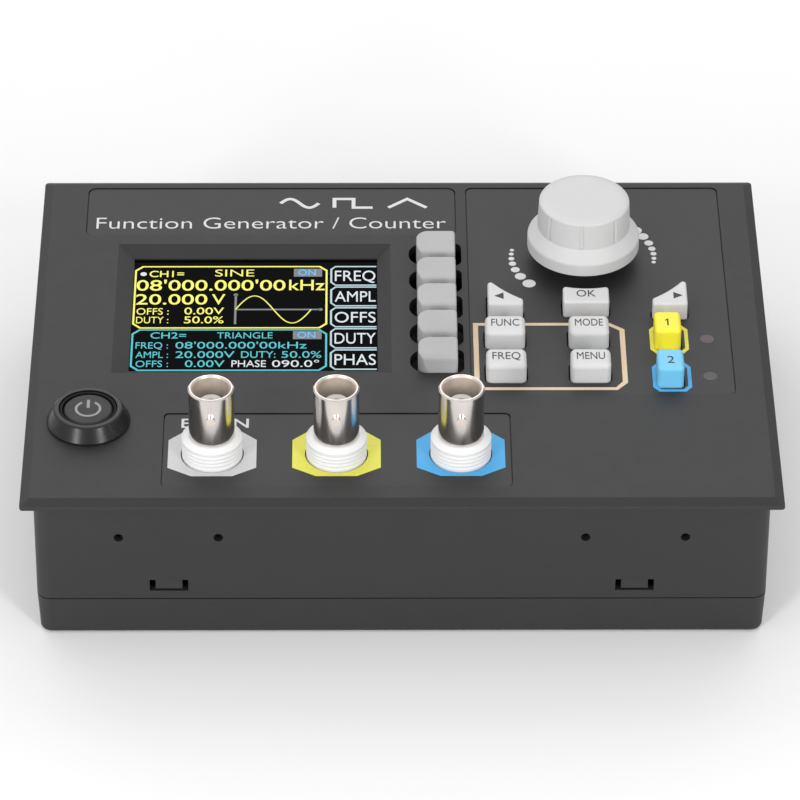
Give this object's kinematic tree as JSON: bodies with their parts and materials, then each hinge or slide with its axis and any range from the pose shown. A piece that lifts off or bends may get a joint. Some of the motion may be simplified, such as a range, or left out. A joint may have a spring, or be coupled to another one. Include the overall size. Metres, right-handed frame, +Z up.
{
  "type": "function generator",
  "caption": "Bench function generator with a flanged control panel, colour display, soft keys, rotary knob, latching power button and BNC sockets.",
  "frame": {"origin": "on the table, under the middle of the overall box", "axes": "+X across the panel to the user's right, +Y away from the user, +Z up out of the panel"},
  "size_m": [0.1586, 0.1188, 0.0539],
  "materials": {
    "case_plastic": "fine moulded texture, dark grey",
    "label_film": "matt printed film, dark grey",
    "foot_rubber": "soft black rubber",
    "display_cover": "glossy black cover of a colour display",
    "display_tray": "moulded frame, light grey",
    "circuit_board": "black solder mask",
    "softkey_plastic": "satin light grey",
    "key_plastic": "satin pale grey",
    "yellow_key": "satin yellow",
    "blue_key": "satin blue",
    "knob_plastic": "satin pale grey",
    "plated_steel": "plated",
    "encoder_case": "zinc die casting",
    "power_bezel_plastic": "satin black",
    "power_ring_plastic": "glossy black",
    "power_cap_plastic": "satin dark grey with a grey standby symbol",
    "black_plastic": "matt black",
    "white_plastic": "white moulding",
    "lead_sleeve": "red insulation",
    "nickel_plate": "bright nickel plate",
    "contact_brass": "gold-coloured plate",
    "led_lens": "translucent grey lens",
    "chip_plastic": "moulded package",
    "relay_plastic": "smooth pale cover",
    "capacitor_can": "bright can"
  },
  "bodies": {
    "case": {"base_cover": "case_plastic", "board_screws": "plated_steel", "board_spacers": "contact_brass", "channel_1_socket_body": "white_plastic", "channel_1_socket_contact": "contact_brass", "channel_1_socket_insulator": "white_plastic", "channel_1_socket_shell": "nickel_plate", "channel_2_socket_body": "white_plastic", "channel_2_socket_contact": "contact_brass", "channel_2_socket_insulator": "white_plastic", "channel_2_socket_shell": "nickel_plate", "connector_label": "label_film", "control_label": "label_film", "display_board": "circuit_board", "display_frame": "display_tray", "display_glass": "display_cover", "encoder_body": "encoder_case", "encoder_nut": "plated_steel", "encoder_washer": "plated_steel", "filter_capacitors": "capacitor_can", "front_board": "circuit_board", "indicator_leds": "led_lens", "input_socket_body": "white_plastic", "input_socket_contact": "contact_brass", "input_socket_insulator": "white_plastic", "input_socket_shell": "nickel_plate", "logic_chips": "chip_plastic", "main_board": "circuit_board", "pin_headers": "black_plastic", "power_bezel": "power_bezel_plastic", "power_jack": "black_plastic", "power_jack_pin": "plated_steel", "power_leads": "lead_sleeve", "power_nut": "plated_steel", "power_ring": "power_ring_plastic", "power_switch": "black_plastic", "rubber_feet": "foot_rubber", "signal_relays": "relay_plastic", "tact_switches": "black_plastic", "title_label": "label_film", "upper_case": "case_plastic", "usb_socket": "plated_steel", "usb_tongue": "white_plastic"},
    "softkey_1": {"softkey_1": "softkey_plastic"},
    "softkey_2": {"softkey_2": "softkey_plastic"},
    "softkey_3": {"softkey_3": "softkey_plastic"},
    "softkey_4": {"softkey_4": "softkey_plastic"},
    "softkey_5": {"softkey_5": "softkey_plastic"},
    "left_key": {"left_key": "key_plastic"},
    "right_key": {"right_key": "key_plastic"},
    "ok_key": {"ok_key": "key_plastic"},
    "function_key": {"function_key": "key_plastic"},
    "mode_key": {"mode_key": "key_plastic"},
    "frequency_key": {"frequency_key": "key_plastic"},
    "menu_key": {"menu_key": "key_plastic"},
    "channel_1_key": {"channel_1_key": "yellow_key"},
    "channel_2_key": {"channel_2_key": "blue_key"},
    "knob": {"knob": "knob_plastic", "encoder_shaft": "plated_steel"},
    "power_button": {"power_cap": "power_cap_plastic"}
  },
  "joints": [
    {"name": "softkey_1_press", "type": "slide", "parent": "case", "child": "softkey_1", "axis": [0, 0, -1], "range_m": [0, 0.0005], "stiffness_N_per_m": 300, "springref_m": -0.001},
    {"name": "softkey_2_press", "type": "slide", "parent": "case", "child": "softkey_2", "axis": [0, 0, -1], "range_m": [0, 0.0005], "stiffness_N_per_m": 300, "springref_m": -0.001},
    {"name": "softkey_3_press", "type": "slide", "parent": "case", "child": "softkey_3", "axis": [0, 0, -1], "range_m": [0, 0.0005], "stiffness_N_per_m": 300, "springref_m": -0.001},
    {"name": "softkey_4_press", "type": "slide", "parent": "case", "child": "softkey_4", "axis": [0, 0, -1], "range_m": [0, 0.0005], "stiffness_N_per_m": 300, "springref_m": -0.001},
    {"name": "softkey_5_press", "type": "slide", "parent": "case", "child": "softkey_5", "axis": [0, 0, -1], "range_m": [0, 0.0005], "stiffness_N_per_m": 300, "springref_m": -0.001},
    {"name": "left_key_press", "type": "slide", "parent": "case", "child": "left_key", "axis": [0, 0, -1], "range_m": [0, 0.0005], "stiffness_N_per_m": 300, "springref_m": -0.001},
    {"name": "right_key_press", "type": "slide", "parent": "case", "child": "right_key", "axis": [0, 0, -1], "range_m": [0, 0.0005], "stiffness_N_per_m": 300, "springref_m": -0.001},
    {"name": "ok_key_press", "type": "slide", "parent": "case", "child": "ok_key", "axis": [0, 0, -1], "range_m": [0, 0.0005], "stiffness_N_per_m": 300, "springref_m": -0.001},
    {"name": "function_key_press", "type": "slide", "parent": "case", "child": "function_key", "axis": [0, 0, -1], "range_m": [0, 0.0005], "stiffness_N_per_m": 300, "springref_m": -0.001},
    {"name": "mode_key_press", "type": "slide", "parent": "case", "child": "mode_key", "axis": [0, 0, -1], "range_m": [0, 0.0005], "stiffness_N_per_m": 300, "springref_m": -0.001},
    {"name": "frequency_key_press", "type": "slide", "parent": "case", "child": "frequency_key", "axis": [0, 0, -1], "range_m": [0, 0.0005], "stiffness_N_per_m": 300, "springref_m": -0.001},
    {"name": "menu_key_press", "type": "slide", "parent": "case", "child": "menu_key", "axis": [0, 0, -1], "range_m": [0, 0.0005], "stiffness_N_per_m": 300, "springref_m": -0.001},
    {"name": "channel_1_key_press", "type": "slide", "parent": "case", "child": "channel_1_key", "axis": [0, 0, -1], "range_m": [0, 0.0005], "stiffness_N_per_m": 300, "springref_m": -0.001},
    {"name": "channel_2_key_press", "type": "slide", "parent": "case", "child": "channel_2_key", "axis": [0, 0, -1], "range_m": [0, 0.0005], "stiffness_N_per_m": 300, "springref_m": -0.001},
    {"name": "power_press", "type": "slide", "parent": "case", "child": "power_button", "axis": [0, 0, -1], "range_m": [0, 0.0015], "stiffness_N_per_m": 400, "springref_m": -0.001},
    {"name": "knob_turn", "type": "hinge", "parent": "case", "child": "knob", "pos_m": [0.0403, 0.0292, 0.0368], "axis": [0, 0, 1], "continuous": true}
  ]
}
